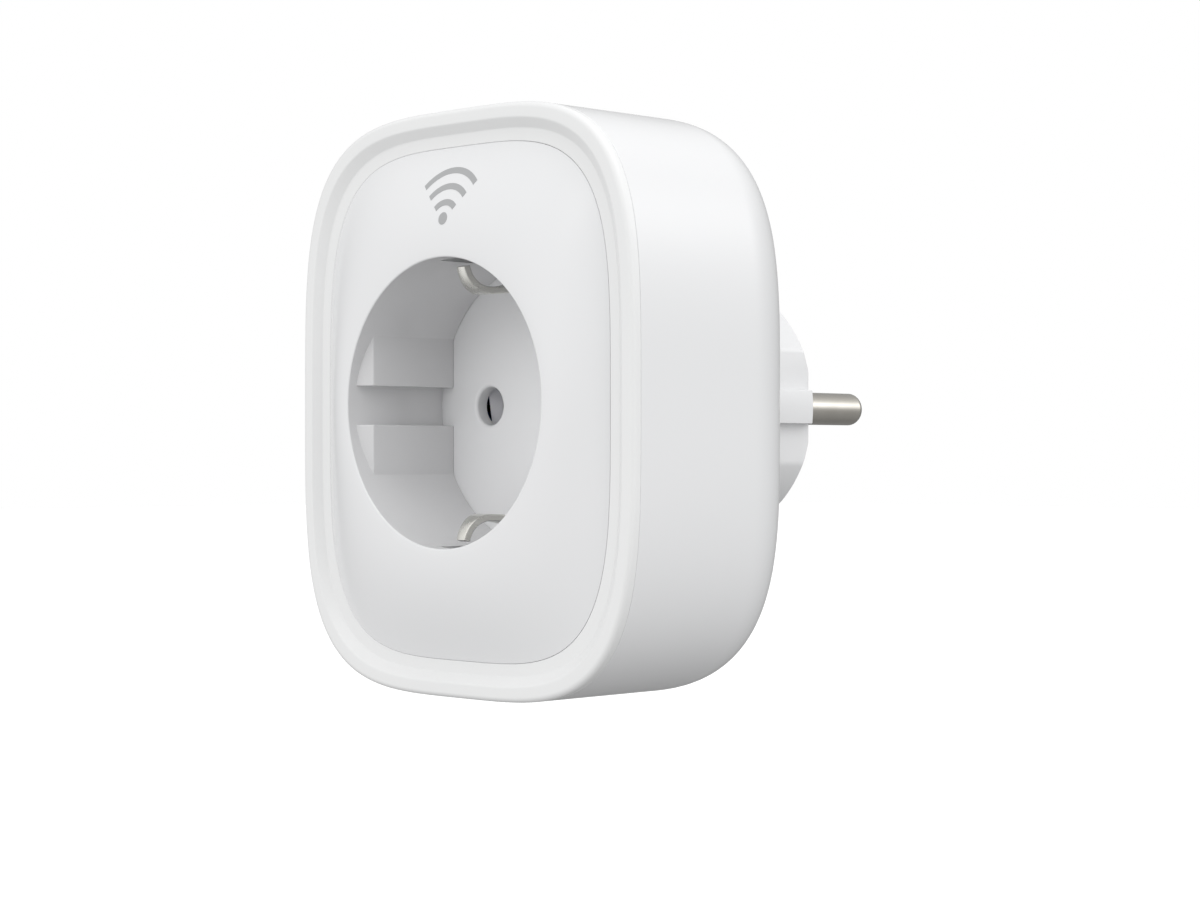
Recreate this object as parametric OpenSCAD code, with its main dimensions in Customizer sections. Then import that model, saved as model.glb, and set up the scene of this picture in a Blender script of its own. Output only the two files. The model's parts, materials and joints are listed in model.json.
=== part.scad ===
// Smart plug: a switched adapter with a round earthed socket in front and a plug behind.
// The origin is the middle of the flat rear face, on the plug's axis.
// +X is to the right seen from the front, +Y goes into the wall and +Z is up.

/* [Housing] */
// Width of the housing
body_w = 66.4; // [66:0.2:69]
// Height of the housing
body_h = 79.3; // [79:0.1:84]
// Roundness of the outline: 2 is an ellipse, more is squarer
squareness = 3.8; // [3.6:0.1:4.6]
// Thickness of the housing wall
wall = 2; // [1.8:0.1:2.2]
// Radius of the fillet round the rear edge
rear_fillet = 13; // [12:0.5:14]
// Distance from the wall to the parting line behind the bezel
shell_depth = 34.6; // [34.2:0.1:34.8]

/* [Front] */
// Distance from the wall to the top of the bezel's rim
rim_depth = 36.1; // [35.9:0.1:36.3]
// Distance from the wall to the edge of the socket recess
mouth_depth = 39; // [38.8:0.1:39.2]
// Radius of the rim's outer edge
rim_edge = 1.2; // [0.8:0.1:1.4]
// Distance from the outline to the boundary of the front cover
ledge_inset = 5; // [4.8:0.1:5.2]

/* [Socket] */
// Radius of the socket recess
recess_r = 19.5; // [19.4:0.1:19.6]
// Depth of the socket recess
recess_depth = 17.5; // [17.3:0.1:17.6]
// Distance between the faces of the guide blocks
guide_gap = 34; // [33.8:0.1:34.2]
// Width of the groove that splits each guide block
groove_w = 5.4; // [5:0.1:5.8]
// Distance between the two pins
pin_pitch = 19; // [18.9:0.1:19.1]
// Radius of a pin hole in the recess floor
pin_hole_r = 2.7; // [2.6:0.05:2.8]

/* [Plug] */
// Radius of the plug body
plug_r = 18.5; // [18.3:0.1:18.6]
// Length of the plug body behind the rear face
plug_len = 17; // [16.8:0.1:17.2]
// Radius of a plug pin
pin_r = 2.4; // [2.35:0.01:2.4]
// Length of a pin beyond the plug body
pin_len = 19; // [18.5:0.1:19.5]

/* [Button] */
// Radius of the button cap
button_r = 4.2; // [3.8:0.1:4.4]
// Distance from the wall to the middle of the button
button_depth = 20; // [19:0.5:22]

/* [Relay] */
// Length of the relay
relay_l = 20.6; // [20.4:0.1:20.8]
// Width of the relay
relay_w = 10.2; // [10.2:0.1:10.6]
// Height of the relay
relay_h = 16; // [15.8:0.1:16.2]

/* [Hidden] */
$fn = 64;

// Points round the moulded outline, and the overshoot of a cut past a face
steps = 72;
eps = 0.5;

shell_white = "#f0f0f0";
trim_white = "#e8e8e8";
nickel = "#a8a69f";
brass = "#c9a64e";
copper = "#b8673a";
board_green = "#2f6b45";
dark = "#26272a";

// Distances along Y, measured from the wall
rear_wall = 2.2;
ledge_depth = 35.1;
cover_flange = 33.5;
skirt_depth = 30;
cover_t = 1.9;
floor_depth = mouth_depth - recess_depth;
floor_t = 2;
cup_r = recess_r + 1.9;
land_r = recess_r + 0.5;
floor_r = recess_r + 0.9;

// The main board stands parallel to the wall
board_back = 5;
board_t = 1.6;
board_front = board_back + board_t;
board_inset = 6.2;
lead_end = 1.75;

// Case screws, through the rear wall into the cover's posts
screw_x = 14.5;
screw_z = 21;
screw_r = 1.25;
screw_head_r = 2.5;
post_r = 3;

// The control board lies level near the top, under the button
control_z = 28.4;
control_t = 1.6;
control_top = control_z + control_t;
control_front = 31;
tab_w = 16;

// Contact strips
strip = 0.8;
leaf = 0.6;
link_x = 13.4;
clip_w = 4.5;
clip_t = 0.95;
slot_w = 5.6;

// Where the parts stand on the main board, in X and Z
relay_at = [0, -28.2];
filter_at = [23.2, 3];
bulk_at = [[-21.6, -4.5], [-21.6, 4.5]];
varistor_at = [20.4, -17.2];
resistor_at = [-19.5, -15.5];
inductor_at = [21.3, 18.8];
bridge_at = [-21.8, 17.5];
power_chip_at = [-6.5, 16.5];
metering_chip_at = [6.5, -14];
shunt_at = [15.9, 9.5];

// Distances between the leads of those parts
filter_leads = 8.8;
bulk_leads = 3.5;
varistor_leads = [1.6, 5];
resistor_leads = 11.2;
inductor_leads = 5;
coil_pins_x = -5.2;
coil_pins = 6;
shunt_span = 5.2;
fixed_contact_x = 5.95;
yoke_tail_x = -8.2;
lead_r = 0.35;

// ---- helpers ----

// Distance from the axis to the outline at angle t, moved in by inset
function outline_r(t, inset) = pow(
    pow(abs(cos(t)) / (body_w / 2 - inset), squareness)
    + pow(abs(sin(t)) / (body_h / 2 - inset), squareness), -1 / squareness);

// A ring at depth d that lies a share s of the way from the outline to a circle of radius r
function ring(inset, d, s = 0, r = 0) = [
    for (i = [0 : steps - 1])
        let (t = 360 * i / steps, q = outline_r(t, inset) * (1 - s) + r * s)
        [q * cos(t), -d, q * sin(t)]
];

function flat_outline(inset) = [for (p = ring(inset, 0)) [p[0], p[2]]];

// A solid through rings listed from front to rear, or a closed loop of rings
module loft(rings, looped = false) {
    m = len(rings);
    sides = [
        for (j = [0 : looped ? m - 1 : m - 2], i = [0 : steps - 1])
            let (k = (i + 1) % steps, a = j * steps, b = ((j + 1) % m) * steps)
            each [[a + i, a + k, b + k], [a + i, b + k, b + i]]
    ];
    front = [for (i = [steps - 1 : -1 : 0]) i];
    rear = [for (i = [0 : steps - 1]) (m - 1) * steps + i];
    polyhedron([for (r = rings) each r], looped ? sides : concat(sides, [front, rear]), convexity = 8);
}

// A cylinder along Y from depth a (nearer the front) to depth b
module rod(r, a, b, x = 0, z = 0) {
    translate([x, -a, z])
        rotate([-90, 0, 0])
            cylinder(h = a - b, r = r);
}

// A flat shape drawn in X and Z, from depth a to depth b
module plate(a, b) {
    translate([0, -b, 0])
        rotate([90, 0, 0])
            linear_extrude(a - b)
                children();
}

// A flat shape drawn in Y and Z, w wide and centred on X
module along_x(w) {
    rotate([90, 0, 90])
        linear_extrude(w, center = true)
            children();
}

// A box between two corners
module block(low, high) {
    translate(low)
        cube(high - low);
}

// A part that stands on the main board: its own Z is its height above the board
module on_board(at) {
    translate([at[0], -board_front, at[1]])
        rotate([90, 0, 0])
            children();
}

module at_screws() {
    for (x = [-screw_x, screw_x], z = [-screw_z, screw_z])
        translate([x, 0, z])
            children();
}

// Unit vector along leg i of a path
function leg(path, i) = (path[i + 1] - path[i]) / norm(path[i + 1] - path[i]);

// Offset from a path to the side of a strip that is t thick; it grows at a bend to keep the thickness
function side_step(path, i, t) =
    let (a = leg(path, max(i - 1, 0)), b = leg(path, min(i, len(path) - 2)))
    let (across = [-a[1] - b[1], a[0] + b[0]])
    across * t / (across * across);

// The outline of a strip t thick whose middle follows a path
module ribbon(path, t) {
    n = len(path);
    polygon(concat(
        [for (i = [0 : n - 1]) path[i] + side_step(path, i, t)],
        [for (i = [n - 1 : -1 : 0]) path[i] - side_step(path, i, t)]));
}

// ---- shells ----

function reversed(list) = [for (i = [len(list) - 1 : -1 : 0]) list[i]];

// Rings of a shell whose rear edge has a fillet of radius r
function shell_rings(inset, front, rear, r) = concat(
    [ring(inset, front)],
    [for (t = [0 : 15 : 90]) ring(inset + r * (1 - cos(t)), rear + r - r * sin(t))]);

module rear_housing() {
    color(shell_white)
        difference() {
            union() {
                loft(concat(
                    reversed(shell_rings(wall, shell_depth, rear_wall, rear_fillet - wall)),
                    shell_rings(0, shell_depth, 0, rear_fillet)));
                at_screws()
                    rod(3.2, board_back, 1);
            }
            rod(plug_r + 0.2, board_back, -eps);
            at_screws() {
                rod(screw_r + 0.2, board_back + eps, -eps);
                rod(screw_head_r + 0.2, 1.7, -eps);
            }
            translate([0, -button_depth, 0])
                cylinder(h = body_h, r = button_r + 0.2);
            translate([8.5, -button_depth, 0])
                cylinder(h = body_h, r = 1.1);
        }
}

module front_bezel() {
    edge = [for (t = [90 : -30 : 0]) [rim_edge * (1 - cos(t)), rim_depth - rim_edge * (1 - sin(t))]];
    skirt = [
        [0, shell_depth], [wall + 0.2, shell_depth], [wall + 0.2, skirt_depth],
        [wall + 1.55, skirt_depth], [wall + 1.55, cover_flange + 0.1]
    ];
    ledge = [
        [ledge_inset, cover_flange + 0.1], [ledge_inset, ledge_depth],
        [ledge_inset - 1.7, ledge_depth], [2, rim_depth]
    ];
    color(trim_white)
        loft([for (p = concat(edge, skirt, ledge)) ring(p[0], p[1])], looped = true);
}

// Rings of the pillow, from the flat land at the recess out to its boundary
function pillow(inset, d, rise, r) =
    [for (s = [1, 0.86, 0.72, 0.58, 0.44, 0.3, 0.15, 0]) ring(inset, d + rise * sin(90 * s), s, r)];

module guide_blocks() {
    ramp_end = 2.6;
    ramp_start = 1.3;
    face = guide_gap / 2;
    for (side = [0, 180], half = [0, 1])
        rotate([0, side, 0])
            mirror([0, 0, half])
                intersection() {
                    rod(recess_r + 0.6, mouth_depth, floor_depth);
                    translate([0, 0, groove_w / 2])
                        linear_extrude(recess_r)
                            polygon([
                                [face, -floor_depth], [recess_r + 1, -floor_depth],
                                [recess_r + 1, ramp_start - mouth_depth - 0.5],
                                [recess_r, ramp_start - mouth_depth],
                                [face, ramp_end - mouth_depth]
                            ]);
                }
}

// The slots through which the earth clips reach into the recess
module clip_slots() {
    for (s = [0, 180])
        rotate([0, s, 0])
            block([-slot_w / 2, 2.5 - mouth_depth, 17.9],
                [slot_w / 2, floor_t + 0.1 - floor_depth, cup_r + 1]);
}

module front_cover() {
    rise = mouth_depth - ledge_depth;
    flange = wall + 1.75;
    inner = ledge_inset + 2;
    rabbet = [
        [ledge_inset + 0.1, cover_flange], [flange, cover_flange],
        [flange, cover_flange - 1.5], [inner, cover_flange - 1.5]
    ];
    color(shell_white)
        union() {
            difference() {
                union() {
                    loft(concat(
                        pillow(ledge_inset + 0.1, ledge_depth, rise, land_r),
                        [for (p = rabbet) ring(p[0], p[1])],
                        reversed(pillow(inner, ledge_depth - cover_t, rise, land_r + 1.5))));
                    rod(cup_r, mouth_depth - 1.4, floor_depth - floor_t);
                    at_screws()
                        rod(post_r, mouth_depth - 1.8, board_front);
                }
                rod(recess_r, mouth_depth + eps, floor_depth - floor_t - eps);
                rod(floor_r, floor_depth, floor_depth - floor_t - eps);
                at_screws()
                    rod(screw_r + 0.05, 17, board_front - eps);
                clip_slots();
            }
            guide_blocks();
        }
}

// The plate at the bottom of the recess, let into the cup from behind
module socket_floor() {
    color(shell_white)
        difference() {
            rod(floor_r - 0.05, floor_depth, floor_depth - floor_t);
            for (x = [-pin_pitch / 2, pin_pitch / 2]) {
                rod(pin_hole_r, floor_depth + eps, floor_depth - floor_t - eps, x);
                translate([x, -floor_depth - 0.05, 0])
                    rotate([-90, 0, 0])
                        cylinder(h = 0.5, r1 = pin_hole_r + 0.5, r2 = pin_hole_r);
            }
            clip_slots();
        }
}

// ---- plug ----

// Outline of the plug body, moved in by shrink: flats and ribs at the sides, earth grooves above and below
module plug_outline(shrink = 0) {
    flat = guide_gap / 2 - 0.2 - shrink;
    difference() {
        union() {
            intersection() {
                circle(plug_r - shrink);
                square([2 * flat, 2 * plug_r], center = true);
            }
            intersection() {
                circle(plug_r - shrink);
                square([2 * plug_r, groove_w - 0.6 - 2 * shrink], center = true);
            }
        }
        for (s = [-1, 1])
            translate([0, s * plug_r])
                square([7 + 2 * shrink, 2 * (plug_r - 15.5 + shrink)], center = true);
    }
}

module plug_base() {
    end_wall = 2;
    hollow = 2;
    color(shell_white)
        difference() {
            union() {
                intersection() {
                    plate(2.4, -plug_len)
                        plug_outline();
                    rotate([-90, 0, 0])
                        rotate_extrude()
                            polygon([
                                [0, -3], [plug_r, -3], [plug_r, plug_len - 1],
                                [plug_r - 1, plug_len], [0, plug_len]
                            ]);
                }
                rod(plug_r + 2, 4.2, 2.4);
            }
            difference() {
                plate(board_back, -(plug_len - end_wall))
                    plug_outline(hollow);
                for (x = [-pin_pitch / 2, pin_pitch / 2])
                    rod(4, -7.5, -plug_len, x);
                rod(4.1, -12, -plug_len, 0, 10);
            }
            for (x = [-pin_pitch / 2, pin_pitch / 2])
                rod(2.1, 0, -plug_len - eps, x);
            rod(2.6, 0, -plug_len - eps, 0, 10);
            rod(3.2, 0, -15, 0, 10);
            for (s = [0, 180])
                rotate([0, s, 0])
                    block([-3.1, 1.9, 12], [3.1, 3.3, 16]);
        }
}

// One screw with a cross recess, its head flush in the rear face
module screw() {
    difference() {
        union() {
            rod(screw_head_r, 1.65, 0.25);
            rod(screw_r, 15.5, 1.6);
        }
        for (t = [0, 90])
            rotate([0, t, 0])
                block([-1.5, -1.1, -0.3], [1.5, 0, 0.3]);
    }
}

module case_screws() {
    color(nickel)
        at_screws()
            screw();
}

// A turned pin: rounded tip, exposed shank, thinner root, collar and rivet end
module pin(x) {
    tip = pin_r - 1;
    end = plug_len + pin_len;
    color(nickel)
        translate([x, 0, 0])
            rotate([-90, 0, 0])
                rotate_extrude()
                    polygon(concat(
                        [[0, 4.4], [1.3, 4.4], [1.3, 6.35], [3.2, 6.35], [3.2, 7.45], [2.1, 7.45],
                        [2.1, plug_len], [pin_r, plug_len]],
                        [for (t = [0 : 15 : 90]) [tip + cos(t), end - 1 + sin(t)]],
                        [[0, end]]));
}

module live_pin() pin(pin_pitch / 2);
module neutral_pin() pin(-pin_pitch / 2);

// ---- current paths ----

// A strap from a pin's rivet out to the side and forward through the boards
module link(side, front) {
    along = [[6.6, 5.9], [link_x, 5.9], [link_x, -front]];
    color(copper)
        difference() {
            translate([0, 0, -2.5])
                linear_extrude(5)
                    ribbon([for (p = along) [side * p[0], p[1]]], strip);
            rod(1.35, 0, -8, side * pin_pitch / 2);
        }
}

module live_link() link(1, 7.4);
module neutral_link() link(-1, 14);

// A folded contact: two bowed leaves grip the pin, and a web joins them at the side
module contact(side) {
    bow = [[-18.9, 3.5], [-17.6, 2.85], [-15.6, 2.6], [-13, 2.72], [-9.6, 2.85]];
    web_in = link_x - strip / 2 - leaf;
    for (s = [-1, 1])
        translate([side * (web_in + 6.4) / 2, 0, 0])
            along_x(web_in + 0.1 - 6.4)
                ribbon([for (p = bow) [p[0], s * p[1]]], leaf);
    translate([side * (web_in + leaf / 2), 0, 0])
        along_x(leaf)
            polygon([
                [-19.15, 3.1], [-9.6, 3.1], [-9.6, -3.1], [-18.3, -3.1]
            ]);
}

module neutral_contact() {
    color(nickel)
        contact(-1);
}

module live_contact() {
    tail = link_x - strip / 2 - leaf;
    color(nickel)
        union() {
            contact(1);
            block([tail, -13.5, -7.5], [tail + leaf, -9.6, -3]);
            block([tail, -9.7, -7.5], [tail + leaf, -board_back + 0.15, -4.6]);
        }
}

// One earth clip: a strip that bows into the recess, with its root at the floor
// and a front end that narrows to a tip
clip_apex = 31.2;
clip_path = concat(
    [for (t = [12 : 13 : 90]) [-clip_apex - 3.8 * cos(t), 19.3 - 3.9 * sin(t)]],
    [for (t = [103 : 13 : 168]) [-clip_apex - 9.4 * cos(t), 19.3 - 3.9 * sin(t)]],
    [[-19.7, 18.55]]);
clip_half = [[-15, clip_w / 2], [-26, clip_w / 2], [-clip_apex, 1.5], [-36, 0.7]];

module earth_clip(side) {
    color(nickel)
        intersection() {
            along_x(clip_w)
                ribbon([for (p = clip_path) [p[0], side * p[1]]], clip_t);
            translate([0, 0, -25])
                linear_extrude(50)
                    polygon(concat(
                        [for (p = clip_half) [p[1], p[0]]],
                        [for (p = reversed(clip_half)) [-p[1], p[0]]]));
        }
}

module earth_clip_top() earth_clip(1);
module earth_clip_bottom() earth_clip(-1);

module earth_strap() {
    path = [[-21.3, 19.6], [-18.9, 19.6], [-18.9, -19.6], [-21.3, -19.6]];
    color(nickel)
        along_x(clip_w)
            ribbon(path, strip);
}

module earth_link() {
    color(brass)
        along_x(5)
            ribbon([[-18.1, -13], [-18.1, -8], [2.2, -8]], strip);
}

module rear_earth_band() {
    color(nickel)
        along_x(6)
            ribbon([[14.5, 15.9], [2.6, 15.9], [2.6, -15.9], [14.5, -15.9]], strip);
}

module earth_pin_sleeve() {
    color(brass)
        difference() {
            rod(3.15, -3, -14.9, 0, 10);
            rod(2.65, 0, -16, 0, 10);
            block([-0.4, 2, 10], [0.4, 16, 14]);
        }
}

// ---- boards ----

// A slot through the boards, w by h in X and Z
module board_slot(x, z, w, h, gap) {
    block([x - w / 2 - gap, -board_front - 1, z - h / 2 - gap], [x + w / 2 + gap, 0, z + h / 2 + gap]);
}

module lead_holes() {
    r = lead_r + 0.1;
    back = board_back - 1;
    front = board_front + 1;
    for (s = [-1, 1]) {
        rod(r, front, back, relay_at[0] + coil_pins_x, relay_at[1] + s * coil_pins / 2);
        rod(r, front, back, filter_at[0], filter_at[1] + s * filter_leads / 2);
        rod(r, front, back, inductor_at[0] + s * inductor_leads / 2, inductor_at[1]);
        rod(r + 0.1, front, back, resistor_at[0], resistor_at[1] + s * resistor_leads / 2);
        rod(r, front, back,
            varistor_at[0] + s * varistor_leads[0] / 2, varistor_at[1] + s * varistor_leads[1] / 2);
        for (at = bulk_at)
            rod(r, front, back, at[0] + s * bulk_leads / 2, at[1]);
        board_slot(shunt_at[0] + s * shunt_span / 2, shunt_at[1], 0.9, 1.8, 0);
    }
    board_slot(relay_at[0] + fixed_contact_x, relay_at[1], 0.9, 3.2, 0);
    board_slot(relay_at[0] + yoke_tail_x, relay_at[1], 0.9, 1.6, 0);
}

// What passes through both the board and the sheet behind it
module board_openings(gap) {
    at_screws()
        rod(screw_r + 0.4 + gap, board_front + 1, 0);
    for (s = [-1, 1]) {
        rod(3.5 + gap, board_front + 1, 0, s * pin_pitch / 2);
        board_slot(s * link_x, 0, 1.3, 5.6, gap);
    }
    board_slot(link_x - strip / 2 - leaf / 2, -6.05, 1.1, 3.3, gap);
    board_slot(0, -8, 5.6, 1.4, gap);
    board_slot(0, control_z + control_t / 2, tab_w + 0.2, control_t + 0.2, gap);
}

module main_board() {
    color(board_green)
        difference() {
            plate(board_front, board_back)
                polygon(flat_outline(board_inset));
            board_openings(0);
            lead_holes();
        }
}

module insulating_sheet() {
    color("#d8d3c0")
        difference() {
            plate(4.8, 4.4)
                polygon(flat_outline(board_inset + 0.8));
            board_openings(0.2);
            at_screws()
                rod(3.4, board_front, 0);
        }
}

module control_board() {
    color(board_green)
        difference() {
            union() {
                block([-22, -control_front, control_z], [13, -board_front - 0.1, control_top]);
                block(
                    [-tab_w / 2, -board_front - 0.2, control_z],
                    [tab_w / 2, -board_back + 0.2, control_top]);
            }
            for (x = [-20, 11], y = [-29, -9])
                translate([x, y, control_z - eps])
                    cylinder(h = 3, r = 0.8);
        }
}

module wireless_board() {
    color("#1f2a33")
        translate([0, 0, control_top + 0.05])
            difference() {
                block([-21, -30, 0], [-5, -12, 0.8]);
                for (side = [-21, -5], k = [0 : 7])
                    translate([side, -27 + 2 * k, -eps])
                        cylinder(h = 2, r = 0.4);
            }
}

module wireless_shield() {
    z = control_top + 0.9;
    color("#c4c6c8")
        difference() {
            block([-19.5, -24, z], [-6.5, -13, z + 2.4]);
            block([-19.3, -23.8, z - eps], [-6.7, -13.2, z + 2.2]);
        }
}

// ---- button, switch and light ----

module switch_body() {
    color(dark)
        translate([0, -button_depth, control_top])
            difference() {
                union() {
                    block([-3, -3, 0], [3, 3, 3.1]);
                    for (x = [-2.25, 2.25], y = [-3.4, 3.4])
                        translate([x, y, 0.25])
                            cube([0.7, 1.6, 0.5], center = true);
                }
                translate([0, 0, 1.6])
                    cylinder(h = 3, r = 1.95);
            }
}

module switch_cover() {
    color("#c9cbcc")
        translate([0, -button_depth, control_top + 3.15])
            difference() {
                block([-3, -3, 0], [3, 3, 0.3]);
                translate([0, 0, -eps])
                    cylinder(h = 2, r = 1.8);
                for (x = [-2.4, 2.4], y = [-2.4, 2.4])
                    translate([x, y, -eps])
                        cylinder(h = 2, r = 0.35);
            }
}

module switch_plunger() {
    color("#e8e4da")
        translate([0, -button_depth, control_top + 2])
            cylinder(h = 2.25, r = 1.7);
}

// The cap's face stands a little proud of the top wall, and its flange keeps it in
module button_cap() {
    top = body_h / 2 + 0.25;
    color(trim_white)
        translate([0, -button_depth, 0])
            rotate_extrude()
                polygon([
                    [0, control_top + 4.3], [1.6, control_top + 4.3], [1.6, 36.2], [5.2, 36.2],
                    [5.2, 37], [button_r, 37], [button_r, top - 0.5], [button_r - 0.5, top], [0, top]
                ]);
}

module status_light() {
    color("#f4f1dc")
        translate([8.5, -button_depth, control_top]) {
            block([-1, -0.65, 0], [1, 0.65, 0.4]);
            translate([0, 0, 0.4])
                cylinder(h = 0.5, r = 0.6);
        }
}

module light_pipe() {
    color("#dfe8ee")
        translate([8.5, -button_depth, control_top + 1.1])
            rotate_extrude()
                polygon([
                    [0, 0], [1.6, 0], [1.6, 6], [1.05, 6.4],
                    [1.05, body_h / 2 - control_top - 1.15], [0, body_h / 2 - control_top - 1.15]
                ]);
}

// ---- relay ----

coil_x = -2;
armature_low = 13.05;

module relay_base() {
    color(dark)
        on_board(relay_at)
            difference() {
                union() {
                    block([-relay_l / 2 + 0.9, -relay_w / 2 + 0.9, 0.3],
                        [relay_l / 2 - 0.9, relay_w / 2 - 0.9, 1.5]);
                    for (x = [-8.6, 8.6], y = [-3.4, 3.4])
                        translate([x, y, 0])
                            cylinder(h = 0.5, r = 0.7);
                }
                translate([fixed_contact_x, 0, 0])
                    cube([1.2, 3.4, 5], center = true);
                for (y = [-coil_pins / 2, coil_pins / 2])
                    translate([coil_pins_x, y, -1])
                        cylinder(h = 4, r = lead_r + 0.1);
                translate([yoke_tail_x, 0, 0])
                    cube([0.9, 1.6, 5], center = true);
            }
}

module relay_cover() {
    t = 0.8;
    color("#3d6fb0")
        on_board(relay_at)
            difference() {
                block([-relay_l / 2, -relay_w / 2, 0.3], [relay_l / 2, relay_w / 2, relay_h]);
                block(
                    [-relay_l / 2 + t, -relay_w / 2 + t, 0],
                    [relay_l / 2 - t, relay_w / 2 - t, relay_h - t]);
                translate([7.4, 3, relay_h - 2])
                    cylinder(h = 4, r = 0.5);
            }
}

module relay_bobbin() {
    color("#e9e2cf")
        on_board(relay_at)
            translate([coil_x, 0, 0])
                difference() {
                    union() {
                        block([-4.5, -4, 2.5], [4.5, 4, 3.2]);
                        block([-4.5, -4, 11.2], [4.5, 4, 11.9]);
                        translate([0, 0, 3])
                            cylinder(h = 8.4, r = 2.4);
                    }
                    translate([0, 0, 1])
                        cylinder(h = 12, r = 1.95);
                }
}

module relay_coil() {
    color(copper)
        on_board(relay_at)
            translate([coil_x, 0, 3.25])
                difference() {
                    cylinder(h = 7.9, r = 3.9);
                    translate([0, 0, -eps])
                        cylinder(h = 9, r = 2.45);
                }
}

module relay_core() {
    color("#b9babb")
        on_board(relay_at)
            translate([coil_x, 0, 0])
                rotate_extrude()
                    polygon([
                        [0, 2.45], [1.85, 2.45], [1.85, 12], [2.9, 12], [2.9, 12.6], [0, 12.6]
                    ]);
}

// An L: the foot under the coil, the leg beside it, and a tail through the board
module relay_yoke() {
    color("#aeb0b2")
        on_board(relay_at)
            union() {
                block([-8.7, -3.6, 1.55], [1.5, 3.6, 2.4]);
                block([-8.7, -3.6, 1.5], [-7.7, 3.6, armature_low - 0.1]);
                block([yoke_tail_x - 0.35, -0.7, -lead_end], [yoke_tail_x + 0.35, 0.7, 1.6]);
            }
}

module relay_armature() {
    color("#c3c4c6")
        on_board(relay_at)
            union() {
                block([-8.6, -3.4, armature_low], [2.4, 3.4, armature_low + 1]);
                block([-8.6, -1.5, armature_low + 0.9], [-7.6, 1.5, armature_low + 1.5]);
            }
}

module relay_contact_spring() {
    low = armature_low + 1;
    color(brass)
        on_board(relay_at)
            union() {
                block([-5.5, -2, low], [7.8, 2, low + 0.3]);
                for (x = [-4.2, 0.6])
                    translate([x, 0, low + 0.2])
                        cylinder(h = 0.5, r = 0.7);
                translate([6.4, 0, low - 0.5])
                    cylinder(h = 1.1, r = 1.3);
            }
}

module relay_fixed_contact() {
    color(brass)
        on_board(relay_at)
            union() {
                block([fixed_contact_x - 0.35, -1.5, -lead_end], [fixed_contact_x + 0.35, 1.5, 12]);
                block([5.6, -2, 11.4], [7.9, 2, 12.1]);
                translate([6.7, 0, 12])
                    cylinder(h = 0.85, r = 1.2);
            }
}

module relay_coil_pins() {
    color("#c9cbcc")
        on_board(relay_at)
            for (y = [-coil_pins / 2, coil_pins / 2])
                translate([coil_pins_x, y, -lead_end])
                    cylinder(h = 3.2, r = lead_r, $fn = 24);
}

// ---- parts on the main board ----

module lead(x, y, top = 0.8) {
    translate([x, y, -lead_end])
        cylinder(h = lead_end + top, r = lead_r, $fn = 24);
}

module mains_filter_capacitor() {
    half = filter_leads / 2;
    color("#e0b93c")
        on_board(filter_at)
            union() {
                difference() {
                    block([-2.9, -6.5, 0.3], [2.9, 6.5, 12]);
                    for (y = [-half, half])
                        block([-1.6, y - 1.6, 0], [1.6, y + 1.6, 0.6]);
                }
                lead(0, -half);
                lead(0, half);
            }
}

module bulk_capacitors() {
    color("#2c3e66")
        for (at = bulk_at)
            on_board(at)
                union() {
                    rotate_extrude()
                        polygon([
                            [0, 0.3], [3.6, 0.3], [4, 0.7], [4, 1.8], [3.75, 2.1], [4, 2.4],
                            [4, 11.6], [3.6, 12], [3, 12], [3, 11.8], [0, 11.8]
                        ]);
                    lead(-bulk_leads / 2, 0);
                    lead(bulk_leads / 2, 0);
                }
}

module varistor() {
    disc_r = 3.9;
    edge = [for (t = [-90 : 30 : 90]) [disc_r + 1.1 * cos(t), 2 + 2 * sin(t)]];
    color("#3f62a8")
        on_board(varistor_at)
            union() {
                translate([-2, 0, 6.2])
                    rotate([0, 90, 0])
                        rotate_extrude()
                            polygon(concat([[0, 0]], edge, [[0, 4]]));
                for (s = [-1, 1])
                    lead(s * varistor_leads[0] / 2, s * varistor_leads[1] / 2, 3);
            }
}

module fusible_resistor() {
    half = resistor_leads / 2;
    color("#7fae8c")
        on_board(resistor_at)
            union() {
                translate([0, 0, 2.2])
                    rotate([90, 0, 0])
                        rotate_extrude()
                            polygon([
                                [0, -half], [lead_r, -half], [lead_r, -4.5], [1.5, -4.5], [1.75, -4],
                                [1.75, -3], [1.5, -2.4], [1.5, 2.4], [1.75, 3], [1.75, 4], [1.5, 4.5],
                                [lead_r, 4.5], [lead_r, half], [0, half]
                            ]);
                for (y = [-half, half])
                    block([-0.3, y - 0.3, -lead_end], [0.3, y + 0.3, 2.5]);
            }
}

module power_inductor() {
    color("#4a4c50")
        on_board(inductor_at)
            union() {
                rotate_extrude()
                    polygon([
                        [0, 0.3], [4, 0.3], [4, 1.6], [3.3, 2], [3.3, 7.6], [4, 8], [4, 9.3], [0, 9.3]
                    ]);
                lead(-inductor_leads / 2, 0);
                lead(inductor_leads / 2, 0);
            }
}

module chip(l, w, h, pins, pitch) {
    union() {
        block([-l / 2, -w / 2, 0.25], [l / 2, w / 2, h]);
        for (s = [-1, 1], k = [0 : pins - 1])
            translate([(k - (pins - 1) / 2) * pitch, s * (w / 2 + 0.45), 0.35])
                cube([0.45, 1.1, 0.5], center = true);
    }
}

module bridge_rectifier() {
    color(dark)
        on_board(bridge_at)
            chip(7, 6.4, 3.4, 2, 5.1);
}

module power_chip() {
    color(dark)
        on_board(power_chip_at)
            chip(9.2, 6.2, 3.2, 4, 2.54);
}

module metering_chip() {
    color(dark)
        on_board(metering_chip_at)
            chip(4.9, 3.9, 1.7, 4, 1.27);
}

// A bridge of resistance alloy that stands across the board
module shunt_resistor() {
    half = shunt_span / 2;
    color("#9b8f80")
        on_board(shunt_at)
            rotate([90, 0, 0])
                linear_extrude(1.6, center = true)
                    ribbon([[-half, -lead_end], [-half, 3.4], [half, 3.4], [half, -lead_end]], 0.7);
}

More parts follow.
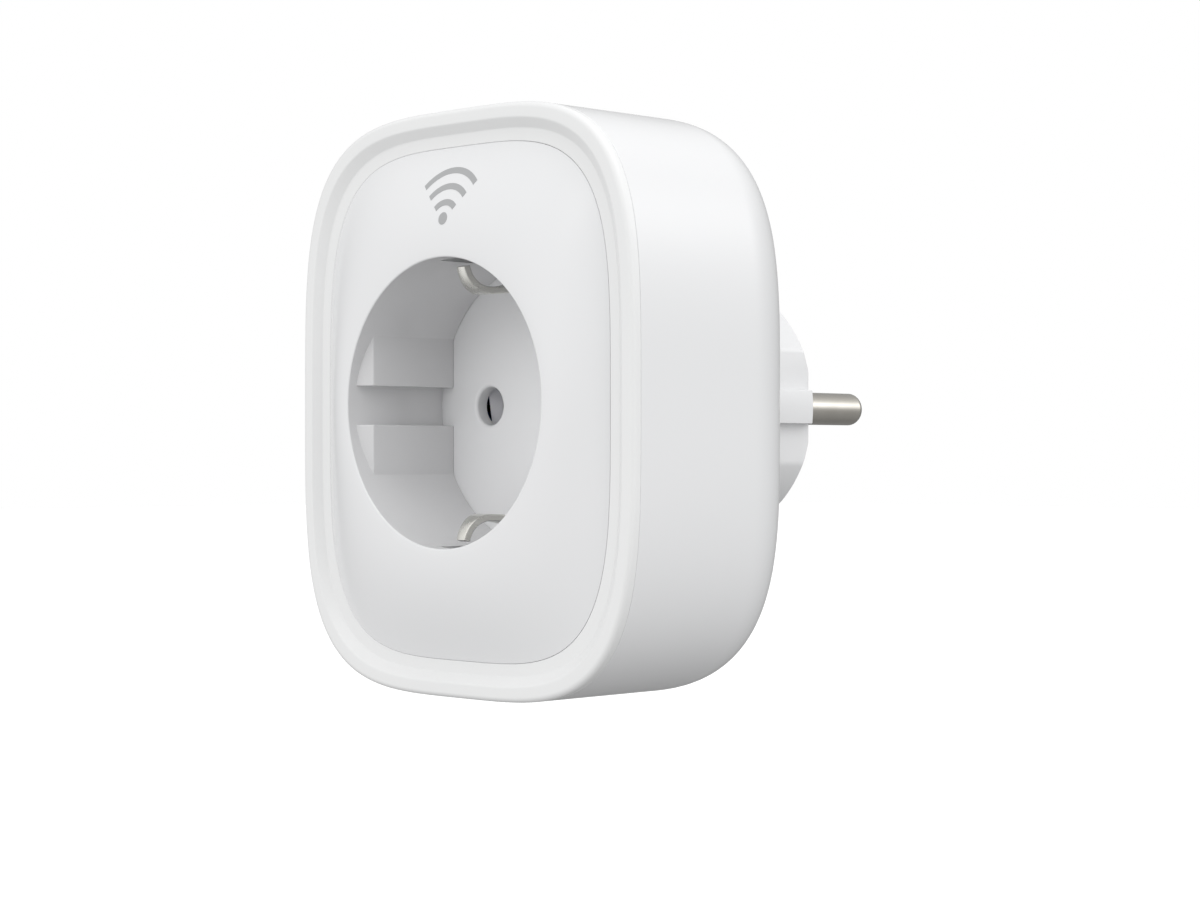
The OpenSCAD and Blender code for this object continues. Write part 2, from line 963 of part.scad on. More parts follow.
module regulator() {
    color(dark)
        translate([4.5, -13.5, control_z])
            rotate([180, 0, 0])
                chip(6.5, 3.5, 1.8, 3, 2.3);
}

rear_housing();
front_bezel();
front_cover();
socket_floor();
plug_base();
case_screws();
live_pin();
neutral_pin();
live_link();
neutral_link();
live_contact();
neutral_contact();
earth_clip_top();
earth_clip_bottom();
earth_strap();
earth_link();
rear_earth_band();
earth_pin_sleeve();
main_board();
insulating_sheet();
control_board();
wireless_board();
wireless_shield();
switch_body();
switch_cover();
switch_plunger();
button_cap();
status_light();
light_pipe();
relay_base();
relay_cover();
relay_bobbin();
relay_coil();
relay_core();
relay_yoke();
relay_armature();
relay_contact_spring();
relay_fixed_contact();
relay_coil_pins();
mains_filter_capacitor();
bulk_capacitors();
varistor();
fusible_resistor();
power_inductor();
bridge_rectifier();
power_chip();
metering_chip();
shunt_resistor();
regulator();
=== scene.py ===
# %% [markdown]
# # A smart plug with an earthed socket
# The engineering model comes in as a fixed frame, with the joints already in it. This script adds what
# the eye wants: softly rounded mouldings, turned and stamped metal, wound wire, solder, a printed
# mark, and a finish for every part. All sizes below are in millimetres until a mesh is written.

# %% Load the frame
import json
import math

import bmesh
import bpy
from mathutils import Matrix, Vector


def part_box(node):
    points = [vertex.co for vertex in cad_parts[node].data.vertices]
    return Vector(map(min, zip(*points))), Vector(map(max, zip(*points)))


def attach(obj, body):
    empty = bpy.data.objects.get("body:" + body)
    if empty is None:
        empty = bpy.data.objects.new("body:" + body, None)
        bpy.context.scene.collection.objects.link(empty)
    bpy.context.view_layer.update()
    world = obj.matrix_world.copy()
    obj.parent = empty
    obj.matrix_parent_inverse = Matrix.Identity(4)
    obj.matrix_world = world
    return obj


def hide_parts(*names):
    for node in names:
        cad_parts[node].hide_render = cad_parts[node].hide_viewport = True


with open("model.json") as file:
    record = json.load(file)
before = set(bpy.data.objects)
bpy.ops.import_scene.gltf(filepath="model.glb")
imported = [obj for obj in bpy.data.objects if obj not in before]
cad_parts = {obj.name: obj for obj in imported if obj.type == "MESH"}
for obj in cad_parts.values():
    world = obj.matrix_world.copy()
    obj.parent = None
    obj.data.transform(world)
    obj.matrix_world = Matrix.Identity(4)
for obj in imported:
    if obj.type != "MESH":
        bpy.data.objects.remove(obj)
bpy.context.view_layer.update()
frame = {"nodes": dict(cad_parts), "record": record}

MM = 0.001
scene = bpy.context.scene


# %% [markdown]
# Every place is read from the frame's own parts, so that the looks follow the engineering. The
# housing gives the outline, the front cover gives the depth of the socket's mouth, and the button
# gives the height of the top wall. "Depth" is the distance from the wall, so it is minus Y.

# %% Sizes read from the frame
def span(node):
    """Lowest and highest corner of a part, in millimetres."""
    low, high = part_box(node)
    return low * 1000, high * 1000


def middle(node):
    low, high = span(node)
    return (low + high) / 2


HALF_W, HALF_H = span("rear_housing")[1].x, span("rear_housing")[1].z
SHELL_DEPTH = -span("rear_housing")[0].y
RIM_DEPTH = -span("front_bezel")[0].y
MOUTH_DEPTH = -span("front_cover")[0].y
SQUARENESS = 3.8
WALL = 2.0
LEDGE_INSET = 5.0
COVER_INSET = LEDGE_INSET + 0.03
LEDGE_DEPTH = 35.1
RECESS_R = 19.5
FLOOR_DEPTH = MOUTH_DEPTH - 17.5
PLATE_R = span("socket_floor")[1].x
PLATE_T = 2.0
HOLE_R = 2.7
GUIDE_X = 17.0
GROOVE = 5.4
PIN_X = middle("live_pin").x
print(f"housing {2 * HALF_W:.1f} x {2 * HALF_H:.1f} mm, mouth {MOUTH_DEPTH:.1f} mm off the wall")


# %% [markdown]
# Node trees read best as arithmetic. This small class wraps one output of a node, so that a formula
# such as `1 - mask * 0.5` adds the Math nodes by itself. The same class serves materials and
# Geometry Nodes, because both kinds of tree share the Math node.

# %% A wire that Python can calculate with
class Wire:
    """One output of a node."""

    def __init__(self, socket):
        self.socket = socket
        self.tree = socket.id_data

    @classmethod
    def add(cls, tree, kind, settings=None, values=None, out=0):
        """Adds any node: its settings first, then the values or links of its sockets."""
        node = tree.nodes.new(kind)
        for key, value in (settings or {}).items():
            setattr(node, key, value)
        for key, value in (values or {}).items():
            if isinstance(value, Wire):
                tree.links.new(value.socket, node.inputs[key])
            else:
                node.inputs[key].default_value = value
        return cls(node.outputs[out]) if node.outputs else node

    def other(self, name):
        """Another output of the same node."""
        return Wire(self.socket.node.outputs[name])

    def __add__(self, other): return maths("ADD", self, other)
    def __radd__(self, other): return maths("ADD", other, self)
    def __sub__(self, other): return maths("SUBTRACT", self, other)
    def __rsub__(self, other): return maths("SUBTRACT", other, self)
    def __mul__(self, other): return maths("MULTIPLY", self, other)
    def __truediv__(self, other): return maths("DIVIDE", self, other)
    def __rtruediv__(self, other): return maths("DIVIDE", other, self)
    def __pow__(self, other): return maths("POWER", self, other)
    def __lt__(self, other): return maths("LESS_THAN", self, other)
    def __gt__(self, other): return maths("GREATER_THAN", self, other)


def maths(operation, *parts):
    tree = next(p.tree for p in parts if isinstance(p, Wire))
    return Wire.add(tree, "ShaderNodeMath", {"operation": operation}, dict(enumerate(parts)))


def blend_colours(share, first, second):
    """A colour that goes from first to second as share goes from 0 to 1."""
    sockets = {0: share, 6: first, 7: second}
    return Wire.add(share.tree, "ShaderNodeMix", {"data_type": "RGBA"}, sockets, out=2)


print("wires ready")


# %% [markdown]
# A finish starts from one Principled shader. What is the same all over the part is typed straight
# into the shader; what varies comes in through wires. The patterns read Object coordinates, which
# are metres here, so a noise scale of 1000 has features of about a millimetre.

# %% The start of every finish
def linear(r, g, b):
    """A colour picked on screen, none of it near black, as the light values that the shader needs."""
    return tuple(((c / 255 + 0.055) / 1.055) ** 2.4 for c in (r, g, b)) + (1,)


def blank(name, **constants):
    """A material, its tree and its shader."""
    material = bpy.data.materials.new(name)
    material.use_nodes = True
    tree = material.node_tree
    tree.nodes.clear()
    shader = tree.nodes.new("ShaderNodeBsdfPrincipled")
    output = tree.nodes.new("ShaderNodeOutputMaterial")
    tree.links.new(shader.outputs[0], output.inputs["Surface"])
    for key, value in constants.items():
        shader.inputs[key.replace("_", " ")].default_value = value
    return material, tree, shader


def noise(tree, scale, detail=2.0, stretch=(1, 1, 1)):
    """Noise from 0 to 1 on the part's own coordinates."""
    place = Wire.add(tree, "ShaderNodeTexCoord", out="Object")
    place = Wire.add(tree, "ShaderNodeMapping", values={"Vector": place, "Scale": stretch})
    return Wire.add(tree, "ShaderNodeTexNoise", values={"Vector": place, "Scale": scale, "Detail": detail})


def dress(shader, colour, roughness, height, depth):
    """Links a finish's varying colour, roughness and relief to its shader."""
    tree = shader.id_data
    tree.links.new(colour.socket, shader.inputs["Base Color"])
    tree.links.new(roughness.socket, shader.inputs["Roughness"])
    bump = Wire.add(tree, "ShaderNodeBump", values={"Height": height, "Distance": depth, "Strength": 0.6})
    tree.links.new(bump.socket, shader.inputs["Normal"])


print("shader start ready")


# %% [markdown]
# Moulded plastic is never quite even. The tool's polish leaves a faint orange peel, flow in the
# mould shifts the colour a little, and handling leaves slightly duller patches. Three noises of
# different size give those three things, and a very fine one adds grain to the peel. Clear parts let
# light through as well, and a mask can paint shade on one region of a moulding, as a flat grey.

# %% Moulded plastics
GLOSS_WHITE = (230, 230, 231), (226, 227, 228), 0.2
# A flat grey of painted shade, for the shade that falls inside the socket's recess.
RECESS_SHADE_GREY = (214, 214, 215)


def moulded(name, colour, shade, rough, peel=420, depth=4e-6, inside=None, **constants):
    """Plastic between two near colours. inside is a function that draws a mask in the tree; where it is 1, a
    flat grey of painted shade takes the colour's place.
    """
    material, tree, shader = blank(name, **constants)
    flow, handling, skin = noise(tree, 35, 3), noise(tree, 160, 4), noise(tree, peel, 3)
    tint = blend_colours(flow, linear(*colour), linear(*shade))
    # Painted shade: where the mask is 1, the colour turns to the flat grey that stands for shade.
    if inside:
        tint = blend_colours(inside(tree), tint, linear(*RECESS_SHADE_GREY))
    dress(shader, tint, rough + (handling - 0.5) * 0.08, skin + noise(tree, 5200, 1) * 0.12, depth)
    return material


finishes = {
    "shell_plastic": moulded("gloss_white_shell", *GLOSS_WHITE, IOR=1.5),
    "trim_plastic": moulded("satin_white_trim", (233, 233, 233), (229, 230, 230), 0.3, IOR=1.5),
    "black_plastic": moulded("black_housing_plastic", (38, 39, 42), (30, 31, 33), 0.42, 900, 6e-6),
    "natural_nylon": moulded("natural_nylon", (232, 226, 208), (220, 212, 190), 0.45, 700, 6e-6),
    "clear_plastic": moulded("clear_light_pipe", (232, 240, 246), (222, 232, 240), 0.12,
                             Transmission_Weight=0.85, IOR=1.49),
    "blue_plastic": moulded("blue_relay_case", (61, 108, 172), (52, 96, 158), 0.35, 800, 6e-6),
    "yellow_plastic": moulded("yellow_filter_case", (224, 184, 62), (214, 172, 50), 0.38, 800, 6e-6),
    "green_lacquer": moulded("green_lacquer", (122, 168, 136), (104, 150, 120), 0.3, 500, 1e-5),
}
print("plastics:", len(finishes))


# %% [markdown]
# Metal parts differ by how they were shaped. Turned pins carry fine rings round their axis, rolled
# strip carries fine lines along it, and plating hides part of both. Noise stretched along one
# direction draws such lines, and a coarse noise makes the plating a little uneven. The dull metal of
# the socket's own springs and contacts is a mix, so it is set as less than fully metallic.

# %% Metals
def metal(name, colour, shade, rough, stretch=(1, 1, 1), depth=2e-6, bare=1.0):
    """Metal between two near colours, with lines along the stretch."""
    material, tree, shader = blank(name, Metallic=bare)
    cloud, drawn = noise(tree, 220, 4), noise(tree, 1800, 3, stretch)
    tint = blend_colours(cloud, linear(*colour), linear(*shade))
    dress(shader, tint, rough + (cloud - 0.5) * 0.16 + (drawn - 0.5) * 0.1, drawn, depth)
    return material


finishes |= {
    "nickel_plate": metal("nickel_plate", (206, 203, 196), (188, 184, 176), 0.2, (1, 0.15, 1)),
    "screw_steel": metal("zinc_plated_screw", (190, 192, 196), (162, 165, 172), 0.34),
    "copper_strap": metal("rolled_copper", (206, 124, 84), (176, 96, 60), 0.3, (1, 0.1, 1)),
    "spring_brass": metal("spring_brass", (214, 182, 106), (190, 154, 80), 0.28, (1, 0.12, 1)),
}
socket_metal = metal("tinned_socket_contact", (244, 244, 248), (236, 236, 241), 0.42, (1, 0.15, 1), bare=0.6)
spring_metal = metal("nickel_spring", (224, 223, 218), (206, 205, 199), 0.26, (1, 0.15, 1), bare=0.75)
enamel = metal("enamelled_copper_wire", (176, 92, 48), (140, 64, 32), 0.25)
tin = metal("solder", (196, 198, 202), (168, 170, 176), 0.22, depth=8e-6)
print("metals:", sorted(k for k in finishes if "plastic" not in k))


# %% [markdown]
# A circuit board is glass cloth under green solder mask, with copper tracks that show as lighter
# lines, and plated vias as small bright dots. A coarse noise parts the board into patches, and each
# patch takes its stripes one way or the other. Voronoi cells, a little disturbed, give the vias.

# %% Laminates and films
def circuit_board(name):
    material, tree, shader = blank(name, Specular_IOR_Level=0.6)
    place = Wire.add(tree, "ShaderNodeTexCoord", out="Object")
    x = Wire.add(tree, "ShaderNodeSeparateXYZ", values={0: place})
    y, z = x.other("Y"), x.other("Z")
    across, along = (x + y * 0.31) * 620, (z - y) * 620
    turn = noise(tree, 130, 0) > 0.5
    stripe = maths("FRACT", across) * turn + maths("FRACT", along) * (1 - turn)
    track = (maths("ABSOLUTE", stripe - 0.5) < 0.17) * (noise(tree, 60, 0) > 0.46)
    cells = Wire.add(tree, "ShaderNodeTexVoronoi",
                     values={"Vector": place, "Scale": 420.0, "Randomness": 0.35})
    via = (cells < 0.12) * (1 - track)
    green = blend_colours(noise(tree, 90, 3), linear(28, 92, 58), linear(20, 76, 48))
    masked = blend_colours(track, green, linear(58, 128, 82))
    tint = blend_colours(via, masked, linear(196, 186, 150))
    weave = maths("SINE", x * 9000) * maths("SINE", z * 9000)
    dress(shader, tint, 0.34 - via * 0.12 + (noise(tree, 300) - 0.5) * 0.1, track + weave * 0.05, 2e-5)
    return material


finishes["circuit_board"] = circuit_board("green_circuit_board")
finishes["polyester_sheet"] = moulded("polyester_sheet", (222, 216, 196), (206, 198, 174), 0.3, 1500, 4e-6)


# %% [markdown]
# Most parts need the same few operations: write a mesh, cut one solid out of another, round the
# edges, and hand the piece over to its body. Rounding matters most, because no real edge is sharp,
# and the thin line of light along an edge is what makes a moulding look moulded.

# %% Mesh helpers
def drawn_mesh(name, points, faces):
    """A closed mesh from points in millimetres, turned outwards if it was inside out."""
    mesh = bpy.data.meshes.new(name)
    mesh.from_pydata([Vector(p) * MM for p in points], [], faces)
    return outwards(mesh)


def outwards(mesh):
    work = bmesh.new()
    work.from_mesh(mesh)
    bmesh.ops.remove_doubles(work, verts=work.verts, dist=1e-7)
    if work.calc_volume(signed=True) < 0:
        bmesh.ops.reverse_faces(work, faces=work.faces)
    work.to_mesh(mesh)
    work.free()
    return mesh


def turned(profile, at=(0, 0), steps=96, axis="Y"):
    """Turns a closed profile of (radius, distance along the axis) round Y or Z at a place across it."""
    points, faces, count = [], [], len(profile)
    for k in range(steps):
        c, s = math.cos(2 * math.pi * k / steps), math.sin(2 * math.pi * k / steps)
        for r, d in profile:
            u, v = at[0] + r * c, at[1] + r * s
            points.append((u, d, v) if axis == "Y" else (u, v, d))
    for k in range(steps):
        for i in range(count):
            if profile[i][0] == 0 and profile[(i + 1) % count][0] == 0:
                continue
            a, b = k * count + i, k * count + (i + 1) % count
            c, d = (k + 1) % steps * count + (i + 1) % count, (k + 1) % steps * count + i
            faces.append((a, b, c, d))
    return cleaned(drawn_mesh("turned", points, faces))


def cleaned(mesh):
    """Drops faces that shrank to a line at a pole."""
    work = bmesh.new()
    work.from_mesh(mesh)
    bmesh.ops.dissolve_degenerate(work, edges=work.edges, dist=1e-8)
    work.to_mesh(mesh)
    work.free()
    return mesh


def between(points):
    """A closed solid between two outlines, which are the two halves of one list of points."""
    n = len(points) // 2
    sides = [(i, (i + 1) % n, n + (i + 1) % n, n + i) for i in range(n)]
    return drawn_mesh("solid", points, [tuple(range(n - 1, -1, -1)), tuple(range(n, 2 * n)), *sides])


def slab(x0, x1, z0, z1, low, high):
    """A box whose rectangle of x and z is drawn out along Y from low to high."""
    return between([(x, y, z) for y in (low, high) for x, z in ((x0, z0), (x1, z0), (x1, z1), (x0, z1))])


def modified(mesh, kind, **settings):
    """The mesh after one modifier, as a plain mesh."""
    holder = bpy.data.objects.new("holder", mesh)
    scene.collection.objects.link(holder)
    modifier = holder.modifiers.new("step", kind)
    for key, value in settings.items():
        setattr(modifier, key, value)
    graph = bpy.context.evaluated_depsgraph_get()
    made = bpy.data.meshes.new_from_object(holder.evaluated_get(graph))
    bpy.data.objects.remove(holder)
    return made


def combined(mesh, others, operation):
    """Adds or cuts other meshes, one after another."""
    for other in others:
        tool = bpy.data.objects.new("tool", other)
        scene.collection.objects.link(tool)
        mesh = modified(mesh, "BOOLEAN", operation=operation, object=tool, solver="EXACT")
        bpy.data.objects.remove(tool)
    return mesh


def rounded(mesh, width, segments=3, angle=35):
    """Merges flat areas into single faces, then rounds every edge sharper than angle."""
    work = bmesh.new()
    work.from_mesh(mesh)
    bmesh.ops.remove_doubles(work, verts=work.verts, dist=1e-7)
    bmesh.ops.dissolve_limit(work, angle_limit=math.radians(1), verts=work.verts, edges=work.edges)
    work.to_mesh(mesh)
    work.free()
    return modified(mesh, "BEVEL", width=width * MM, segments=segments, limit_method="ANGLE",
                    angle_limit=math.radians(angle), use_clamp_overlap=True)


def piece(name, mesh, slot, body="root", stands_for=(), finish=None, crease=32):
    """Hands a finished mesh over: its finish, its shading, its body and the part that it stands for."""
    mesh.materials.clear()
    mesh.materials.append(finish or finishes[slot])
    mesh.shade_smooth()
    mesh.set_sharp_from_angle(angle=math.radians(crease))
    mesh = modified(mesh, "WEIGHTED_NORMAL", keep_sharp=True, weight=50)
    mesh.name = name
    made = bpy.data.objects.new(name, mesh)
    scene.collection.objects.link(made)
    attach(made, body)
    if stands_for:
        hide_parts(*stands_for)
    print(f"{name}: {len(mesh.polygons)} faces")
    return made


print("helpers ready")


# %% [markdown]
# Three mouldings share one rule: their outline is a rounded rectangle of the kind
# |x/a|^n + |z/b|^n = 1, moved in by some inset, and on the front it flows into the round socket.
# A rule like that suits Geometry Nodes. The input is a plain polyline, whose points hold an inset, a
# depth and a share of the way to a circle. The tree sweeps it round, and solves the rule at each step.

# %% The outline rule as a node tree
def plan(name, **inputs):
    """An empty Geometry Nodes tree with named inputs, and their wires."""
    tree = bpy.data.node_groups.new(name, "GeometryNodeTree")
    tree.interface.new_socket("Geometry", in_out="INPUT", socket_type="NodeSocketGeometry")
    for label, kind in inputs.items():
        tree.interface.new_socket(label.replace("_", " "), in_out="INPUT", socket_type="NodeSocket" + kind)
    tree.interface.new_socket("Geometry", in_out="OUTPUT", socket_type="NodeSocketGeometry")
    start = tree.nodes.new("NodeGroupInput")
    return tree, {s.name: Wire(s) for s in start.outputs if s.name}


def finish_plan(tree, geometry, material):
    """Ends a tree: real geometry in place of instances, one material, and the output."""
    real = Wire.add(tree, "GeometryNodeRealizeInstances", values={0: geometry})
    dressed = Wire.add(tree, "GeometryNodeSetMaterial", values={"Geometry": real, "Material": material})
    Wire.add(tree, "NodeGroupOutput", values={0: dressed})


def made_from(tree, mesh, **values):
    """Runs a tree on a mesh and gives back a plain mesh. Inputs are set by identifier."""
    holder = bpy.data.objects.new("plan", mesh)
    scene.collection.objects.link(holder)
    modifier = holder.modifiers.new("plan", "NODES")
    modifier.node_group = tree
    known = {s.name: s.identifier for s in tree.interface.items_tree if s.in_out == "INPUT"}
    for label, value in values.items():
        modifier[known[label.replace("_", " ")]] = value
    graph = bpy.context.evaluated_depsgraph_get()
    made = bpy.data.meshes.new_from_object(holder.evaluated_get(graph))
    holder.modifiers.remove(modifier)
    bpy.data.objects.remove(holder)
    return made


def outline_radius(turn, inset, half_w, half_h, power):
    """Distance from the axis to the moved-in outline, as wires."""
    wide = maths("ABSOLUTE", maths("COSINE", turn)) / (half_w - inset)
    tall = maths("ABSOLUTE", maths("SINE", turn)) / (half_h - inset)
    return (wide ** power + tall ** power) ** (-1 / power)


sweep, wires = plan("sweep_round_outline", Half_Width="Float", Half_Height="Float", Squareness="Float",
                    Steps="Int", Material="Material")
rows = Wire.add(sweep, "GeometryNodeAttributeDomainSize", values={0: wires["Geometry"]})
columns = wires["Steps"] + 1
grid = Wire.add(sweep, "GeometryNodeMeshGrid", values={"Vertices X": rows, "Vertices Y": columns})
count = Wire.add(sweep, "GeometryNodeInputIndex") + 0.0
row = maths("FLOOR", (count + 0.5) / columns)
turn = (count - row * columns) * (2 * math.pi) / wires["Steps"]


def sampled(value, kind):
    """The polyline's value at this row."""
    return Wire.add(sweep, "GeometryNodeSampleIndex", {"data_type": kind},
                    {"Geometry": wires["Geometry"], "Value": value, "Index": row})


point = Wire.add(sweep, "ShaderNodeSeparateXYZ",
                 values={0: sampled(Wire.add(sweep, "GeometryNodeInputPosition"), "FLOAT_VECTOR")})
round_r = sampled(Wire.add(sweep, "GeometryNodeInputNamedAttribute", values={"Name": "radius"}), "FLOAT")
edge = outline_radius(turn, point, wires["Half Width"], wires["Half Height"], wires["Squareness"])
reach = (edge * (1 - point.other("Z")) + round_r * point.other("Z")) * MM
place = Wire.add(sweep, "ShaderNodeCombineXYZ", values={
    0: reach * maths("COSINE", turn), 1: point.other("Y") * -MM, 2: reach * maths("SINE", turn)})
moved = Wire.add(sweep, "GeometryNodeSetPosition", values={"Geometry": grid, "Position": place})
joined = Wire.add(sweep, "GeometryNodeMergeByDistance", values={"Geometry": moved, "Distance": 1e-6})
finish_plan(sweep, joined, wires["Material"])
print("sweep tree:", len(sweep.nodes), "nodes")


# %% [markdown]
# The polyline is written as corner points, and each corner gets its own radius, as a tool maker
# would cut it. A point is (inset, depth) for a part of the outline, or (radius, depth) on the round
# socket.

# %% Profiles with rounded corners
def arc(x, y, rx, ry, step, parts):
    """Points on a circle or an ellipse round (x, y), at whole parts of a step in degrees."""
    turns = [math.radians(step * k) for k in parts]
    return [(x + rx * math.cos(t), y + ry * math.sin(t)) for t in turns]


def arc_corner(before, corner, after, radius, steps):
    """Points of the fillet at one corner of a polyline."""
    corner, before, after = Vector(corner), Vector(before), Vector(after)
    u, v = (before - corner).normalized(), (after - corner).normalized()
    half = math.acos(max(-1, min(1, u.dot(v)))) / 2
    if radius == 0 or half > 1.55:
        return [tuple(corner)]
    run = min(radius / math.tan(half), (before - corner).length * 0.48, (after - corner).length * 0.48)
    first, last = corner + u * run, corner + v * run
    centre = corner + (u + v).normalized() * run / math.cos(half)
    a, b = first - centre, last - centre
    whole = math.acos(max(-1, min(1, a.dot(b) / a.length / b.length)))
    return [tuple(centre + (a * math.sin(whole * (1 - k / steps)) + b * math.sin(whole * k / steps))
                  / math.sin(whole)) for k in range(steps + 1)]


def filleted(corners, steps):
    """A closed profile from (inset, depth, fillet radius) corners."""
    n, made = len(corners), []
    for i, (x, d, r) in enumerate(corners):
        made += arc_corner(corners[i - 1][:2], (x, d), corners[(i + 1) % n][:2], r, steps)
    return made


def swept(name, profile, slot, steps=288):
    """Runs the outline rule on points of (inset, depth, share of the way to a circle, its radius)."""
    line = bpy.data.meshes.new(name)
    line.from_pydata([p[:3] for p in profile], [(i, i + 1) for i in range(len(profile) - 1)], [])
    radius = line.attributes.new("radius", "FLOAT", "POINT")
    for i, p in enumerate(profile):
        radius.data[i].value = p[3]
    made = made_from(sweep, line, Half_Width=HALF_W, Half_Height=HALF_H, Squareness=SQUARENESS,
                     Steps=steps, Material=finishes[slot])
    return outwards(made)


print("profiles ready")


# %% [markdown]
# The rear housing is a deep tray. Its rear edge has a large fillet, so it looks slim on the wall. The
# front edge has a tiny one, which makes half of the parting line. A round opening in its floor
# passes the plug body, and the screws and the button come through holes cut afterwards.

# %% Rear housing
FILLET = 13.0
TRAY_T = 2.2
BORE_R = 18.7
HEAD_R = 2.5
corner = span("case_screws")[1]
SCREW_X, SCREW_Z = corner.x - HEAD_R, corner.z - HEAD_R
SCREWS = [(x, z) for x in (-SCREW_X, SCREW_X) for z in (-SCREW_Z, SCREW_Z)]
BUTTON_Y = middle("button_cap").y
LIGHT_X = middle("light_pipe").x

tray = [(0.15, SHELL_DEPTH), (0.05, SHELL_DEPTH - 0.04), (0, SHELL_DEPTH - 0.15), (0, 27), (0, 20)]
tray += [(FILLET * (1 - math.cos(t)), FILLET * (1 - math.sin(t)))
         for t in [math.radians(3.75 * k) for k in range(25)]]
tray = [(inset, depth, 0, 0) for inset, depth in tray]
tray += [(FILLET, 0, 0.5, BORE_R + 0.3), (0, 0, 1, BORE_R + 0.2), (0, 0.2, 1, BORE_R),
         (0, TRAY_T, 1, BORE_R)]
inner = [(WALL + 11 * (1 - math.cos(t)), TRAY_T + 11 * (1 - math.sin(t)))
         for t in [math.radians(90 - 9 * k) for k in range(11)]]
tray += [(inset, depth, 0, 0) for inset, depth in inner + [(WALL, SHELL_DEPTH), (0.15, SHELL_DEPTH)]]
housing = swept("rear_tray", tray, "shell_plastic")
boss = [(0, -1.5), (3.2, -1.5), (3.2, -5), (0, -5)]
housing = combined(housing, [turned(boss, s, 48) for s in SCREWS], "UNION")
hole = [(0, 1), (3.4, 1), (3.0, 0.05), (2.75, -0.15), (2.7, -1.7), (1.45, -1.7), (1.45, -6), (0, -6)]
housing = combined(housing, [turned(hole, s, 64) for s in SCREWS], "DIFFERENCE")
top = HALF_H
for x, r, soft in ((0, 4.4, 0.25), (LIGHT_X, 1.1, 0.12)):
    hole = [(0, 45), (r + 3, 45), (r + soft, top - 0.02), (r + soft * 0.3, top - soft * 0.45),
            (r, top - soft * 1.2), (r, 34), (0, 34)]
    housing = combined(housing, [turned(hole, (x, BUTTON_Y), 96, "Z")], "DIFFERENCE")
piece("housing_shell", housing, "shell_plastic", stands_for=["rear_housing"])


# %% [markdown]
# The bezel frames the front. From outside in, it has a rounded outer edge, a narrow rim, a slope
# down to a flat ledge, and a rabbet that holds the cover. It is one closed loop of corners, so the
# sweep makes it in one go.

# %% Front bezel
rim = filleted([
    (0, SHELL_DEPTH, 0.12), (0, RIM_DEPTH, 1.2), (2.0, RIM_DEPTH, 0.5), (3.3, LEDGE_DEPTH, 0.35),
    (LEDGE_INSET, LEDGE_DEPTH, 0.12), (LEDGE_INSET, 33.6, 0), (3.55, 33.6, 0), (3.55, 30, 0.2),
    (2.2, 30, 0.2), (2.2, SHELL_DEPTH, 0)], steps=6)
rim.append(rim[0])
piece("rim_bezel", swept("rim", [(*p, 0, 0) for p in rim], "trim_plastic"), "trim_plastic",
      stands_for=["front_bezel"])


# %% [markdown]
# The front cover rises from its boundary as a quarter sine wave and meets the mouth of the socket
# level. The same sweep goes on down the wall of the recess and back along the hidden side. Then the
# guide blocks and screw posts are added, and the slots for the earth clips are cut. Inside the recess
# the finish is painted a shade greyer by a mask on radius and depth: painted shade for the recess.

# %% Front cover and socket recess
def pillow(inset, low, rise, r, steps=22):
    """Rows from the outline (share 0) in to the circle (share 1)."""
    return [(inset, low + rise * math.sin(math.pi / 2 * k / steps), k / steps, r) for k in range(steps + 1)]


RISE = MOUTH_DEPTH - LEDGE_DEPTH
WELL_R = RECESS_R + 1.9
SEAT_R = PLATE_R + 0.05
GUIDE_R = RECESS_R + 0.3
foot, lip = 0.12, 0.22
socket = [(0, FLOOR_DEPTH - PLATE_T, 1, SEAT_R), (0, FLOOR_DEPTH, 1, SEAT_R)]
socket += [(0, depth, 1, r) for r, depth in arc(RECESS_R, FLOOR_DEPTH, foot, foot, 30, range(4))]
socket += [(0, MOUTH_DEPTH - lip + lip * math.sin(t), 1, RECESS_R + lip * (1 - math.cos(t)))
           for t in [math.radians(15 * k) for k in range(7)]]
front = pillow(COVER_INSET, LEDGE_DEPTH, RISE, RECESS_R + 0.5)
flange = [(COVER_INSET, 33.5, 0, 0), (3.75, 33.5, 0, 0), (3.75, 32, 0, 0), (7, 32, 0, 0)]
back = pillow(7, LEDGE_DEPTH - 1.9, RISE, RECESS_R + 2)
well = [(0, MOUTH_DEPTH - 2, 1, WELL_R), (0, FLOOR_DEPTH - PLATE_T, 1, WELL_R), socket[0]]
cover = swept("cover", socket + front[::-1][1:] + flange + back + well, "shell_plastic")


def recess_shade_mask(tree):
    """1 on the walls of the recess, where shade is painted grey, 0 elsewhere, as a wire."""
    place = Wire.add(tree, "ShaderNodeTexCoord", out="Object")
    x = Wire.add(tree, "ShaderNodeSeparateXYZ", values={0: place})
    y, z = x.other("Y"), x.other("Z")
    return ((x * x + z * z) ** 0.5 < (RECESS_R + 0.15) * MM) * (y > (0.12 - MOUTH_DEPTH) * MM)


# Painted shade: the recess walls take a grey in place of the shade that falls deep in the socket.
panel_finish_with_painted_shade = moulded("gloss_white_panel_painted_recess_shade", *GLOSS_WHITE, inside=recess_shade_mask, IOR=1.5)


def guide_block(side, half):
    """A block beside the plug's path, with a sloped front end."""
    base = GROOVE / 2
    start = math.asin(base / GUIDE_R)
    stop = math.asin(math.sqrt(GUIDE_R ** 2 - GUIDE_X ** 2) / GUIDE_R)
    turns = [start + (stop - start) * k / 12 for k in range(13)]
    outline = [(GUIDE_X, base), *((GUIDE_R * math.cos(t), GUIDE_R * math.sin(t)) for t in turns)]
    points = [(side * x, -FLOOR_DEPTH - 0.03, side * half * z) for x, z in outline]
    for x, z in outline:
        slope = 1.3 + 1.3 * (RECESS_R - x) / (RECESS_R - GUIDE_X)
        points.append((side * x, slope - MOUTH_DEPTH, side * half * z))
    return rounded(between(points), 0.22, angle=30)


